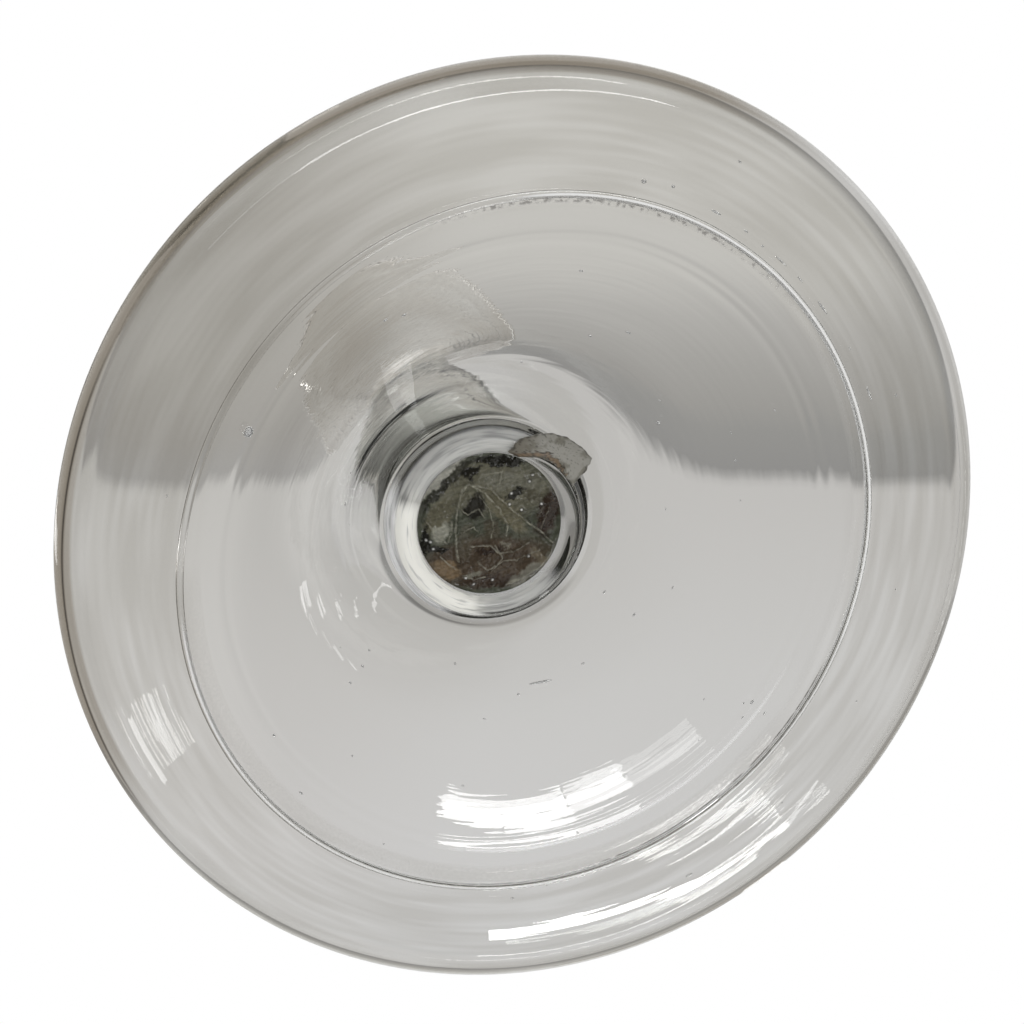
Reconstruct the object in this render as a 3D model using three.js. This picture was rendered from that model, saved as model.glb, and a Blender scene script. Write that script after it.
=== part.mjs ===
// A drawn trumpet wine glass, as made in England around the middle of the eighteenth century.
//
// It has three pieces of glass, made in this order: the trumpet bowl with the solid stem that
// is drawn out of it, the conical foot with its rim folded under, and the broken pontil mark
// that the maker's iron left under the foot.
//
// Millimetres, +Z up. The origin is the centre of the ring on which the foot rests.

import * as THREE from 'three';

// Foot
const FOOT_DIAMETER = 76;
const FOOT_WALL = 2.1;              // single layer of the cone, beside the fold
const FOOT_CENTRE_THICKNESS = 6.1;  // from the roof of the hollow up to the stem
const EVEN_WEDGE_RADIUS = 14;       // inside this the cone thickens toward the stem at an even rate
const WEDGE_BLEND = 7;              // outside it, the thickening fades away over this width
const HOLLOW_HEIGHT = 14.4;         // from the table up to the roof of the hollow
const HOLLOW_ROOF_MARGIN = 0.3;     // flat roof left round the pontil mark
const CONE_SAG = 0.9;               // how far the cone's side dips below a straight line

// Folded rim of the foot
const RIM_THICKNESS = 2.7;        // both layers together, at the edge
const FOLD_WIDTH = 9.1;           // how far the layer that is turned under reaches inward
const FOLD_LAYER = 0.8;           // thickness of that layer at its rounded inner edge
const FOLD_RISE = 1.5;            // height of that edge over the table
const CREVICE_GAP = 0.2;          // slot left between the two layers there
const CREVICE_DEPTH = 0.35;
const REST_RING_WIDTH = 1;        // flat that use has worn on the lowest line of the rim

// Stem and bowl
const OVERALL_HEIGHT = 169;
const STEM_BASE_X = -3.2;         // the maker set the stem this far off the foot's centre
const STEM_BASE_Y = 0.5;
const BOWL_DRIFT_X = 2.5;         // the stem leans, so the rim's centre is this far from its base
const BOWL_DRIFT_Y = -4.2;
const STEM_DIAMETER = 10.4;
const STEM_BASE_DIAMETER = 17;    // where the stem spreads onto the foot
const STEM_SPREAD_HEIGHT = 14;    // height over which it spreads
const STEM_STRAIGHT = 24;         // plain length between that spread and the trumpet
const BOWL_RIM_DIAMETER = 60.5;
const BOWL_DEPTH = 78;
const BOWL_TIP_LENGTH = 15;       // the inside rounds to its lowest point over this length
const BOWL_RIM_WALL = 1.6;
const BOWL_BASE_WALL = 2.9;
const SPREAD_POWER = 3.9;         // the higher, the tighter the stem's curve into the foot
const TRUMPET_POWER = 2.1;        // the higher, the later the bowl opens

// Pontil mark
const PONTIL_BASE_DIAMETER = 19.6;  // where its glass spreads onto the roof of the hollow
const BREAK_DIAMETER = 13.8;        // broken face inside the lip
const BREAK_DEPTH = 1.9;            // from the roof down to that face, before the break's scoops
const LIP_WIDTH = 1.4;
const LIP_DEPTH = 2.1;              // from the roof down to the lip's lowest line
const FLARE_POWER = 1.6;            // the higher, the later the side flares onto the roof
const SPLINTER_ANGLE = -72;         // degrees round from +X
const SPLINTER_LENGTH = 7.4;        // along the lip
const SPLINTER_WIDTH = 4.6;
const SPLINTER_DROP = 1.2;          // how far it stands out below the lip

// How finely curves are divided
const ROUND_STEPS = 64;
const CONE_STEPS = 10;
const BOWL_STEPS = 22;
const SMALL_ARC_STEPS = 6;
const BREAK_RINGS = 8;
const FLARE_STEPS = 4;
const EDGE_TOLERANCE = 0.01;       // a vertex this near an edge counts as on it

const footRadius = FOOT_DIAMETER / 2;
const rimRound = RIM_THICKNESS / 2;
const foldEdgeRadius = footRadius - FOLD_WIDTH;
const foldRound = FOLD_LAYER / 2;
const creviceFloor = FOLD_RISE + FOLD_LAYER;
const creviceRoof = creviceFloor + CREVICE_GAP;
const creviceMouthRadius = foldEdgeRadius + foldRound;
const breakRadius = BREAK_DIAMETER / 2;
const lipRadius = breakRadius + LIP_WIDTH / 2;
const pontilBaseRadius = PONTIL_BASE_DIAMETER / 2;
const hollowRoofRadius = pontilBaseRadius + HOLLOW_ROOF_MARGIN;
const stemBaseHeight = HOLLOW_HEIGHT + FOOT_CENTRE_THICKNESS;
const stemBaseRadius = STEM_BASE_DIAMETER / 2;
const stemRadius = STEM_DIAMETER / 2;
const trumpetStart = stemBaseHeight + STEM_SPREAD_HEIGHT + STEM_STRAIGHT;
const bowlRimRadius = BOWL_RIM_DIAMETER / 2;
const bowlRimRound = BOWL_RIM_WALL / 2;
const bowlFloor = OVERALL_HEIGHT - BOWL_DEPTH;
const lipHeight = OVERALL_HEIGHT - bowlRimRound;

const point = (radius, height) => new THREE.Vector2(radius, height);

// Points of an arc in the profile's plane, with angles in degrees from the outward direction
function arc(centre, radius, fromAngle, toAngle) {
  return Array.from({ length: SMALL_ARC_STEPS + 1 }, (_, i) => {
    const degrees = THREE.MathUtils.lerp(fromAngle, toAngle, i / SMALL_ARC_STEPS);
    const angle = THREE.MathUtils.degToRad(degrees);
    return point(centre.x + radius * Math.cos(angle), centre.y + radius * Math.sin(angle));
  });
}

// Points at even steps of radius, at the heights that the given function returns
function slopePoints(heightAt, fromRadius, toRadius) {
  return Array.from({ length: CONE_STEPS + 1 }, (_, i) => {
    const radius = THREE.MathUtils.lerp(fromRadius, toRadius, i / CONE_STEPS);
    return point(radius, heightAt(radius));
  });
}

// Turns a closed profile of radius and height round the upright axis
function turned(profile) {
  return new THREE.LatheGeometry(profile, ROUND_STEPS).rotateX(Math.PI / 2);
}

// Moves each vertex by what the given function returns for its place
function reshaped(geometry, moveVertex) {
  const position = geometry.getAttribute('position');
  const vertex = new THREE.Vector3();
  for (let i = 0; i < position.count; i += 1) {
    vertex.fromBufferAttribute(position, i);
    moveVertex(vertex);
    position.setXYZ(i, vertex.x, vertex.y, vertex.z);
  }
  geometry.computeVertexNormals();
  return geometry;
}

function glass(color, roughness) {
  return new THREE.MeshStandardMaterial({ color, roughness, metalness: 0 });
}

// Height of the cone's underside, which hangs a little below a straight line
function hollowHeight(radius) {
  const share = (radius - hollowRoofRadius) / (creviceMouthRadius - hollowRoofRadius);
  const straight = THREE.MathUtils.lerp(HOLLOW_HEIGHT, creviceRoof, share);
  return straight - 4 * CONE_SAG * share * (1 - share);
}

// How much the cone's glass has grown toward the stem, before it is scaled to the weld
function wedge(radius) {
  const share = THREE.MathUtils.clamp((radius - EVEN_WEDGE_RADIUS) / WEDGE_BLEND, 0, 1);
  const blended = WEDGE_BLEND * (0.5 - share + share ** 3 - share ** 4 / 2);
  return blended + Math.max(0, EVEN_WEDGE_RADIUS - radius);
}

// Height of the cone's upper face, which meets the stem's base at the weld
function upperHeight(radius) {
  const singleLayer = hollowHeight(radius) + FOOT_WALL;
  const missing = stemBaseHeight - hollowHeight(stemBaseRadius) - FOOT_WALL;
  return singleLayer + missing * (wedge(radius) / wedge(stemBaseRadius));
}

// Underside of the foot, from the roof of the hollow down the cone, into the slot over the
// fold, round the fold's inner edge and along its lower face to the ring worn flat
function footUnderside() {
  return [
    point(0, HOLLOW_HEIGHT),
    ...slopePoints(hollowHeight, hollowRoofRadius, creviceMouthRadius),
    point(creviceMouthRadius + CREVICE_DEPTH, creviceRoof),
    point(creviceMouthRadius + CREVICE_DEPTH, creviceFloor),
    ...arc(point(creviceMouthRadius, FOLD_RISE + foldRound), foldRound, 90, 270),
    point(footRadius - rimRound - REST_RING_WIDTH, 0),
  ];
}

// Upper face of the foot, from the rolled edge up the cone to the flat that carries the stem
function footTop() {
  const slope = slopePoints(upperHeight, creviceMouthRadius, stemBaseRadius);
  return [...slope, point(0, stemBaseHeight)];
}

// The rim stays centred on the origin and the cone's middle sits under the off-centre stem
function leanConeToStem(vertex) {
  const radius = Math.hypot(vertex.x, vertex.y);
  const share = 1 - THREE.MathUtils.smoothstep(radius, hollowRoofRadius, foldEdgeRadius);
  vertex.x += STEM_BASE_X * share;
  vertex.y += STEM_BASE_Y * share;
}

function foot() {
  const rolledEdge = arc(point(footRadius - rimRound, rimRound), rimRound, -90, 90);
  const profile = [...footUnderside(), ...rolledEdge, ...footTop()];
  return new THREE.Mesh(reshaped(turned(profile), leanConeToStem), glass('#c6c5c4', 0.06));
}

// Outer radius of the stem and bowl: it spreads at the foot and opens as a trumpet above
function outerRadius(height) {
  const spread = Math.max(0, 1 - (height - stemBaseHeight) / STEM_SPREAD_HEIGHT);
  const opening = Math.max(0, (height - trumpetStart) / (lipHeight - trumpetStart));
  const atFoot = (stemBaseRadius - stemRadius) * spread ** SPREAD_POWER;
  const atBowl = (bowlRimRadius - stemRadius) * opening ** TRUMPET_POWER;
  return stemRadius + atFoot + atBowl;
}

// Inner radius of the bowl: the wall thins toward the rim, and the lowest part is a rounded tip
function innerRadius(height) {
  const climb = (height - bowlFloor) / BOWL_DEPTH;
  const wall = THREE.MathUtils.lerp(BOWL_BASE_WALL, BOWL_RIM_WALL, Math.min(1, climb));
  const tip = Math.min(1, (height - bowlFloor) / BOWL_TIP_LENGTH);
  return (outerRadius(height) - wall) * Math.sqrt(tip * (2 - tip));
}

// Points of one of those two faces, at heights that crowd toward its start, where it turns most
function facePoints(radiusAt, from, to) {
  return Array.from({ length: BOWL_STEPS + 1 }, (_, i) => {
    const height = THREE.MathUtils.lerp(from, to, (i / BOWL_STEPS) ** 1.5);
    return point(radiusAt(height), height);
  });
}

// The stem leans, each level moved sideways by its height, so that the rim stays level
function leanStem(vertex) {
  const climb = (vertex.z - stemBaseHeight) / (OVERALL_HEIGHT - stemBaseHeight);
  vertex.x += STEM_BASE_X + BOWL_DRIFT_X * climb;
  vertex.y += STEM_BASE_Y + BOWL_DRIFT_Y * climb;
}

function bowlAndStem() {
  const outside = facePoints(outerRadius, stemBaseHeight, lipHeight);
  const lip = arc(point(bowlRimRadius - bowlRimRound, lipHeight), bowlRimRound, 0, 180);
  const inside = facePoints(innerRadius, bowlFloor, lipHeight);
  const profile = [point(0, stemBaseHeight), ...outside, ...lip.slice(1, -1), ...inside.reverse()];
  return new THREE.Mesh(reshaped(turned(profile), leanStem), glass('#cfcecd', 0.03));
}

// Scoops that the break took out of the pontil glass, as shares of its radius and depth
const SCOOPS = [
  { x: -0.45, y: 0.1, radius: 0.75, depth: 0.45 },
  { x: 0.35, y: -0.4, radius: 0.7, depth: 0.55 },
  { x: 0.3, y: 0.45, radius: 0.55, depth: 0.35 },
];

// Depth of the broken face below the roof at a point of the mark
function brokenDepth(x, y) {
  const taken = SCOOPS.map((scoop) => {
    const away = Math.hypot(x / breakRadius - scoop.x, y / breakRadius - scoop.y) / scoop.radius;
    return scoop.depth * Math.max(0, 1 - away * away);
  });
  return BREAK_DEPTH * (1 - Math.max(...taken));
}

// How far the splinter on the lip stands out at a point of the mark
function splinterDrop(x, y) {
  const angle = THREE.MathUtils.degToRad(SPLINTER_ANGLE);
  const outward = x * Math.cos(angle) + y * Math.sin(angle) - lipRadius;
  const sideways = y * Math.cos(angle) - x * Math.sin(angle);
  const away = Math.hypot(outward / (SPLINTER_WIDTH / 2), sideways / (SPLINTER_LENGTH / 2));
  return SPLINTER_DROP * Math.max(0, 1 - away);
}

// The flat disc that the profile gives is broken, and the splinter is drawn out of the lip
function breakOff(vertex) {
  if (vertex.z > -BREAK_DEPTH / 2) return;
  const onFace = Math.hypot(vertex.x, vertex.y) < breakRadius + EDGE_TOLERANCE;
  if (onFace) vertex.z = -brokenDepth(vertex.x, vertex.y);
  vertex.z -= splinterDrop(vertex.x, vertex.y);
}

// Outline of the mark below the roof: broken face, rounded lip, and side flaring onto the roof
function pontilProfile() {
  const face = Array.from({ length: BREAK_RINGS }, (_, i) => {
    return point(breakRadius * (i / BREAK_RINGS), -BREAK_DEPTH);
  });
  const lip = arc(point(0, 0), 1, 180, 360).map((unit) => {
    return point(lipRadius + unit.x * (LIP_WIDTH / 2), -BREAK_DEPTH + unit.y * (LIP_DEPTH - BREAK_DEPTH));
  });
  const flareStart = breakRadius + LIP_WIDTH;
  const flare = Array.from({ length: FLARE_STEPS }, (_, i) => {
    const share = (i + 1) / FLARE_STEPS;
    const radius = THREE.MathUtils.lerp(flareStart, pontilBaseRadius, share ** FLARE_POWER);
    return point(radius, -BREAK_DEPTH * (1 - share));
  });
  return [...face, ...lip, ...flare, point(0, 0)];
}

function pontilMark() {
  const mesh = new THREE.Mesh(reshaped(turned(pontilProfile()), breakOff), glass('#6f6e66', 0.35));
  mesh.position.set(STEM_BASE_X, STEM_BASE_Y, HOLLOW_HEIGHT);
  return mesh;
}

const wineGlass = new THREE.Group();
const pieces = { bowl_and_stem: bowlAndStem(), foot: foot(), pontil_mark: pontilMark() };
for (const [name, mesh] of Object.entries(pieces)) {
  mesh.name = name;
  wineGlass.add(mesh);
}

export default wineGlass;
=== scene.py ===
import math

import bpy
import numpy as np
from bpy.props import FloatProperty, FloatVectorProperty, IntProperty, PointerProperty
from bpy.types import Operator, Panel, PropertyGroup
from mathutils import Matrix, Vector, noise


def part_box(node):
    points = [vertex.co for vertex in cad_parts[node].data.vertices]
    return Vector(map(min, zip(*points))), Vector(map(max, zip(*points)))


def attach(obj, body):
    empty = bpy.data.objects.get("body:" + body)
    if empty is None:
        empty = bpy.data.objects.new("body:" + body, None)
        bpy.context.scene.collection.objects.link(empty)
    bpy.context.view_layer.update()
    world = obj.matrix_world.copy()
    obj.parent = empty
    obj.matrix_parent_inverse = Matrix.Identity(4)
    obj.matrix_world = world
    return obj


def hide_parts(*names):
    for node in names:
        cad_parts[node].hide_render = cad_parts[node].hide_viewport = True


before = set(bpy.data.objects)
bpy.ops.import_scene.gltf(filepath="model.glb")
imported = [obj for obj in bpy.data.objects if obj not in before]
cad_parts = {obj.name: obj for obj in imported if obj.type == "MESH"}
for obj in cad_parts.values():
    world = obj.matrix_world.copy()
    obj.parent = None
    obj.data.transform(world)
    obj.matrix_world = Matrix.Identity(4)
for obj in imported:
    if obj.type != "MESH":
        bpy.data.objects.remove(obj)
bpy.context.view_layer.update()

bl_info = {
    "name": "Drawn trumpet wine glass",
    "version": (1, 0, 0),
    "blender": (4, 5, 0),
    "location": "View3D > Sidebar > Wine Glass",
    "description": "A hand-made lead glass with a trumpet bowl, a folded foot and a snapped pontil mark",
    "category": "Object",
}

MM = 0.001

# Places that every piece takes from the CAD model
BOWL_LOW, BOWL_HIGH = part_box("bowl_and_stem")
FOOT_LOW, FOOT_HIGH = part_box("foot")
PONTIL_LOW, PONTIL_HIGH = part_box("pontil_mark")
FOOT_RADIUS = (FOOT_HIGH.x - FOOT_LOW.x) / 2
ROOF_HEIGHT = PONTIL_HIGH.z
WELD_HEIGHT = BOWL_LOW.z
PONTIL_RADIUS = (PONTIL_HIGH.x - PONTIL_LOW.x) / 2
STEM_BASE = (PONTIL_LOW + PONTIL_HIGH) / 2
BOWL_RIM_RADIUS = (BOWL_HIGH.x - BOWL_LOW.x) / 2
BOWL_RIM_CENTRE = (BOWL_LOW + BOWL_HIGH) / 2
STEM_BASE_RADIUS = 8.5 * MM

# Two pieces that are one glass face each other over this gap, through faces that bend no light
WELD_GAP = 0.004 * MM
# Points of a turned mesh that lie closer than this are one
MERGE_DISTANCE = 0.0005 * MM
# How far a point may lie off a flat face that it belongs to
FLAT_WITHIN = 0.01 * MM
# Faces that meet at more than this show an edge
SHARP_ANGLE = math.radians(50)


def linear(hex_colour):
    """An sRGB hex colour as the linear RGBA that Blender's sockets take."""
    channels = [int(hex_colour[i:i + 2], 16) / 255 for i in (1, 3, 5)]
    return [c / 12.92 if c <= 0.04045 else ((c + 0.055) / 1.055) ** 2.4 for c in channels] + [1]


def add(tree, kind, inputs=None, **settings):
    """Adds a node, sets its settings, and sets or links its inputs by name or number.

    A node given for an input stands for the first of its outputs that is in use, and a colour is
    given as sRGB hex.
    """
    node = tree.nodes.new(kind)
    for name, value in settings.items():
        setattr(node, name, value)
    for key, value in (inputs or {}).items():
        named = [socket for socket in node.inputs if socket.enabled and socket.name == key]
        socket = named[0] if named else node.inputs[key]
        if isinstance(value, bpy.types.Node):
            value = next(output for output in value.outputs if output.enabled)
        if isinstance(value, bpy.types.NodeSocket):
            tree.links.new(value, socket)
        elif isinstance(value, str) and value.startswith("#"):
            socket.default_value = linear(value)
        else:
            socket.default_value = value
    return node


def rising(tree, value, start, end, low=0.0, high=1.0):
    """Goes smoothly from low at start to high at end."""
    return add(tree, "ShaderNodeMapRange",
               {"Value": value, "From Min": start, "From Max": end, "To Min": low, "To Max": high},
               interpolation_type="SMOOTHSTEP")


def combined(tree, operation, *values):
    """Several values multiplied, added or compared in turn."""
    total = values[0]
    for value in values[1:]:
        total = add(tree, "ShaderNodeMath", {0: total, 1: value}, operation=operation)
    return total


def layered(tree, colour, *layers):
    """A colour with others laid over it in turn, each where its mask is 1."""
    for mask, over in layers:
        colour = add(tree, "ShaderNodeMix", {"Factor": mask, "A": colour, "B": over},
                     data_type="RGBA")
    return colour


def smooth(values, start, end):
    """Rises smoothly from 0 at start to 1 at end."""
    share = np.clip((np.asarray(values) - start) / (end - start), 0, 1)
    return share * share * (3 - 2 * share)


def length_prop(name, millimetres, description):
    return FloatProperty(
        name=name, description=description, default=millimetres * MM, unit="LENGTH", precision=5
    )


def colour_prop(name, hex_colour, description):
    return FloatVectorProperty(
        name=name, description=description, default=linear(hex_colour)[:3], subtype="COLOR",
        min=0, max=1,
    )


class FootShape(PropertyGroup):
    """Sizes of the foot that a maker would change."""
    wall: length_prop("Wall", 2.1, "Thickness of the cone's single layer, beside the fold")
    wedge_start: length_prop("Wedge start", 21, "The cone thickens toward the stem inside this")
    wedge_full: length_prop("Wedge full", 14, "Inside this the cone thickens evenly")
    cone_sag: length_prop("Cone sag", 0.9, "How far the cone hangs below a straight line")
    roof_fillet: length_prop("Roof fillet", 1.5, "Rounding between the hollow's roof and its side")
    rim_thickness: length_prop("Rim thickness", 2.7, "Both layers together, at the edge")
    fold_width: length_prop("Fold width", 9.1, "How far the turned layer reaches inward")
    fold_layer: length_prop("Fold layer", 0.4, "Thickness of the turned layer at its edge")
    fold_rise: length_prop("Fold rise", 1.9, "Height of the fold's inner edge over the table")
    crevice_gap: length_prop("Crevice gap", 0.2, "Slot between the two layers")
    crevice_depth: length_prop("Crevice depth", 0.35, "How deep that slot is")
    rest_ring: length_prop("Rest ring", 1.0, "Width that use has worn flat under the rim")
    segments: IntProperty(name="Segments", description="Faces round the foot", default=256)


class BowlShape(PropertyGroup):
    """Sizes of the stem and the trumpet bowl."""
    stem_radius: length_prop("Stem radius", 5.2, "Radius of the plain stem")
    base_radius: length_prop("Base radius", STEM_BASE_RADIUS / MM, "Radius at the foot")
    spread_height: length_prop("Spread height", 14, "Height over which the stem spreads")
    straight: length_prop("Straight", 24, "Plain length of the stem below the trumpet")
    depth: length_prop("Bowl depth", 78, "Inside depth of the bowl")
    tip_length: length_prop("Tip length", 15, "Height over which the inside rounds to its tip")
    rim_wall: length_prop("Rim wall", 1.6, "Wall at the lip")
    base_wall: length_prop("Base wall", 2.9, "Wall at the bottom of the bowl")
    trumpet_power: FloatProperty(
        name="Trumpet power", description="The higher, the later the bowl opens", default=2.1)
    segments: IntProperty(name="Segments", description="Faces round the bowl", default=256)


class PontilShape(PropertyGroup):
    """Sizes of the broken mark under the foot."""
    break_radius: length_prop("Break radius", 6.8, "Radius of the broken face inside the lip")
    lip_radius: length_prop("Lip radius", 8.05, "Radius of the lip's lowest line")
    lip_depth: length_prop("Lip depth", 2.1, "How far the lip hangs below the hollow's roof")
    recess: length_prop("Recess", 1.0, "How far the broken face lies above the lip's lowest line")
    splinter_top: length_prop("Splinter top", 1.7, "Where the splinter starts below the roof")
    splinter_depth: length_prop("Splinter depth", 3.1, "How far the splinter hangs down")
    rings: IntProperty(name="Rings", description="Steps from centre to edge", default=90)
    segments: IntProperty(name="Segments", description="Faces round the mark", default=384)


class GlassLook(PropertyGroup):
    """Colour and surface of the old glass."""
    tint: colour_prop("Tint", "#d8dad6", "What a thick layer of the glass lets through")
    tint_density: FloatProperty(
        name="Tint density", description="Absorption for each metre of glass", default=60)
    ior: FloatProperty(name="IOR", description="Refractive index of lead glass", default=1.56)


def new_tree(name, inputs):
    """A Geometry Nodes tree that makes glass, with the sockets of its inputs by name."""
    tree = bpy.data.node_groups.new(name, "GeometryNodeTree")
    for socket, kind in inputs.items():
        tree.interface.new_socket(socket, in_out="INPUT", socket_type="NodeSocket" + kind)
    tree.interface.new_socket("Glass", in_out="OUTPUT", socket_type="NodeSocketGeometry")
    return tree, add(tree, "NodeGroupInput").outputs


def end_tree(tree, geometry, material):
    """Hands out the tree's geometry plain, smooth and in its material."""
    plain = add(tree, "GeometryNodeRealizeInstances", {"Geometry": geometry})
    shaded = add(tree, "GeometryNodeSetShadeSmooth", {"Geometry": plain})
    coated = add(tree, "GeometryNodeSetMaterial", {"Geometry": shaded, "Material": material})
    add(tree, "NodeGroupOutput", {"Glass": coated})
    return tree


def turned_tree():
    """Geometry Nodes tree that turns an upright profile of points round the Z axis.

    Each column of a grid is the profile once more, turned by one segment.
    """
    tree, given = new_tree("turned_glass",
                           {"Profile": "Geometry", "Segments": "Int", "Material": "Material"})
    counted = add(tree, "GeometryNodeAttributeDomainSize", {"Geometry": given["Profile"]})
    rows = counted.outputs["Point Count"]
    columns = combined(tree, "ADD", given["Segments"], 1.0)
    grid = add(tree, "GeometryNodeMeshGrid", {"Vertices X": columns, "Vertices Y": rows})
    index = add(tree, "GeometryNodeInputIndex")
    row = combined(tree, "FLOORED_MODULO", index, rows)
    column = add(tree, "ShaderNodeMath", {0: combined(tree, "DIVIDE", index, rows)},
                 operation="FLOOR")
    share = combined(tree, "DIVIDE", column, given["Segments"])
    point = add(tree, "GeometryNodeSampleIndex",
                {"Geometry": given["Profile"], "Value": add(tree, "GeometryNodeInputPosition"),
                 "Index": row}, data_type="FLOAT_VECTOR", domain="POINT")
    place = add(tree, "ShaderNodeVectorRotate",
                {"Vector": point, "Angle": combined(tree, "MULTIPLY", share, math.tau)},
                rotation_type="Z_AXIS")
    moved = add(tree, "GeometryNodeSetPosition", {"Geometry": grid, "Position": place})
    closed = add(tree, "GeometryNodeMergeByDistance",
                 {"Geometry": moved, "Distance": MERGE_DISTANCE})
    return end_tree(tree, closed, given["Material"])


def run_tree(tree, start_mesh, values):
    """A plain mesh from a Geometry Nodes tree, whose inputs are given by name."""
    carrier = bpy.data.objects.new("carrier", start_mesh)
    bpy.context.collection.objects.link(carrier)
    modifier = carrier.modifiers.new("nodes", "NODES")
    modifier.node_group = tree
    for name, value in values.items():
        modifier[tree.interface.items_tree[name].identifier] = value
    evaluated = carrier.evaluated_get(bpy.context.evaluated_depsgraph_get())
    mesh = bpy.data.meshes.new_from_object(evaluated)
    bpy.data.objects.remove(carrier)
    return mesh


def turned(profile, segments, material):
    """Mesh of a closed profile of (radius, height), turned round Z by the tree."""
    points = bpy.data.meshes.new("profile")
    points.from_pydata([(r, 0, z) for r, z in profile], [], [])
    tree = bpy.data.node_groups.get("turned_glass") or turned_tree()
    return run_tree(tree, points, {"Segments": segments, "Material": material})


def vertices_of(mesh):
    """The mesh's points as rows of x, y and z."""
    flat = np.empty(len(mesh.vertices) * 3)
    mesh.vertices.foreach_get("co", flat)
    return flat.reshape(-1, 3)


def put_vertices(mesh, places):
    mesh.vertices.foreach_set("co", np.ascontiguousarray(places, dtype=float).ravel())
    mesh.update()


def keep_radius(mesh):
    """Keeps each point's radius on the turned profile, which rings, stains and painted light follow
    later.
    """
    places = vertices_of(mesh)
    kept = mesh.attributes.new("profile_radius", "FLOAT", "POINT")
    kept.data.foreach_set("value", np.hypot(places[:, 0], places[:, 1]))


def weld_faces(mesh, height, radius):
    """Gives the flat face that meets another piece the glass that bends no light."""
    mesh.materials.append(weld_glass())
    for polygon in mesh.polygons:
        centre = polygon.center
        flat = abs(centre.z - height) < 2 * FLAT_WITHIN
        if flat and math.hypot(centre.x - STEM_BASE.x, centre.y - STEM_BASE.y) < radius:
            polygon.material_index = len(mesh.materials) - 1


def place_piece(name, mesh, node):
    """Links a finished mesh as a piece that rides on the glass and stands for a CAD node."""
    mesh.name = name
    mesh.set_sharp_from_angle(angle=SHARP_ANGLE)
    piece = bpy.data.objects.new(name, mesh)
    bpy.context.collection.objects.link(piece)
    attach(piece, "root")
    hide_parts(node)
    return piece


def new_material(name):
    """A material with an empty node tree, and that tree."""
    material = bpy.data.materials.new(name)
    material.use_nodes = True
    material.node_tree.nodes.clear()
    return material, material.node_tree


def new_glass(name, surface, look=None):
    """Glass whose shader takes the inputs that a function makes in its tree.

    With a look, the inside of the glass takes in light by that look's tint.
    """
    made, tree = new_material(name)
    ends = {"Surface": add(tree, "ShaderNodeBsdfPrincipled", surface(tree))}
    if look:
        ends["Volume"] = add(tree, "ShaderNodeVolumeAbsorption",
                             {"Color": (*look.tint, 1), "Density": look.tint_density})
    add(tree, "ShaderNodeOutputMaterial", ends)
    return made


def weld_glass():
    """Where two gathers fused hot there is no surface left: light passes straight on."""
    def surface(tree):
        return {"Roughness": 0.0, "IOR": 1.0, "Transmission Weight": 1.0}
    return bpy.data.materials.get("fused weld") or new_glass("fused weld", surface)


def object_place(tree):
    """A point's place in the glass's own frame, in metres."""
    return add(tree, "ShaderNodeTexCoord").outputs["Object"]


def height_over_table(tree):
    return add(tree, "ShaderNodeSeparateXYZ", {0: object_place(tree)}).outputs["Z"]


def heading_from(tree, x, y):
    """Level direction, with length 1, from an upright line to a point."""
    centred = add(tree, "ShaderNodeVectorMath", {0: object_place(tree), 1: (x, y, 0)},
                  operation="SUBTRACT")
    flat = add(tree, "ShaderNodeVectorMath", {0: centred, 1: (1, 1, 0)}, operation="MULTIPLY")
    return add(tree, "ShaderNodeVectorMath", {0: flat}, operation="NORMALIZE")


def round_stem(tree):
    return heading_from(tree, STEM_BASE.x, STEM_BASE.y)


def profile_radius(tree):
    """The radius that keep_radius left at each point."""
    return add(tree, "ShaderNodeAttribute", attribute_name="profile_radius").outputs["Fac"]


def ring_noise(tree, across, spacing, heading, reach, noise_inputs):
    """Noise that steps quickly across rings and changes slowly along them."""
    slow = add(tree, "ShaderNodeVectorMath", {0: heading, "Scale": reach}, operation="SCALE")
    steps = combined(tree, "MULTIPLY", across, 1 / spacing)
    upright = add(tree, "ShaderNodeCombineXYZ", {"Z": steps})
    place = add(tree, "ShaderNodeVectorMath", {0: slow, 1: upright})
    return add(tree, "ShaderNodeTexNoise", {"Vector": place, "Scale": 1.0, **noise_inputs},
               noise_dimensions="4D")


def tool_rings(tree, spacing, reach, seed):
    """Rings round the stem's axis, as the tool leaves them on the foot.

    The larger the reach, the more often they change on their way round.
    """
    return ring_noise(tree, profile_radius(tree), spacing, round_stem(tree), reach,
                      {"W": seed, "Detail": 1.0, "Roughness": 0.4})


def drawn_rings(tree, spacing, reach, seed):
    """Level rings up the bowl and stem, as the turning tool leaves them."""
    return ring_noise(tree, height_over_table(tree), spacing, heading_from(tree, 0, 0), reach,
                      {"W": seed, "Detail": 2.0, "Roughness": 0.5})


def band(tree, value, low, high, soft):
    """1 between low and high, with soft edges."""
    return combined(tree, "MULTIPLY", rising(tree, value, low - soft, low + soft),
                    rising(tree, value, high - soft, high + soft, 1.0, 0.0))


def sector(tree, middle, half_width, soft):
    """1 in a sector of the foot, in degrees round the stem from the X axis."""
    middle = math.radians(middle)
    facing = add(tree, "ShaderNodeVectorMath",
                 {0: round_stem(tree), 1: (math.cos(middle), math.sin(middle), 0)},
                 operation="DOT_PRODUCT")
    return rising(tree, facing, math.cos(math.radians(half_width + soft)),
                  math.cos(math.radians(half_width)))


def patch(tree, low, high, soft, middle, half_width, fade):
    """1 on part of a ring round the stem: radii in millimetres, and its sector in degrees."""
    ring = band(tree, profile_radius(tree), low * MM, high * MM, soft * MM)
    return combined(tree, "MULTIPLY", ring, sector(tree, middle, half_width, fade))


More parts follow.
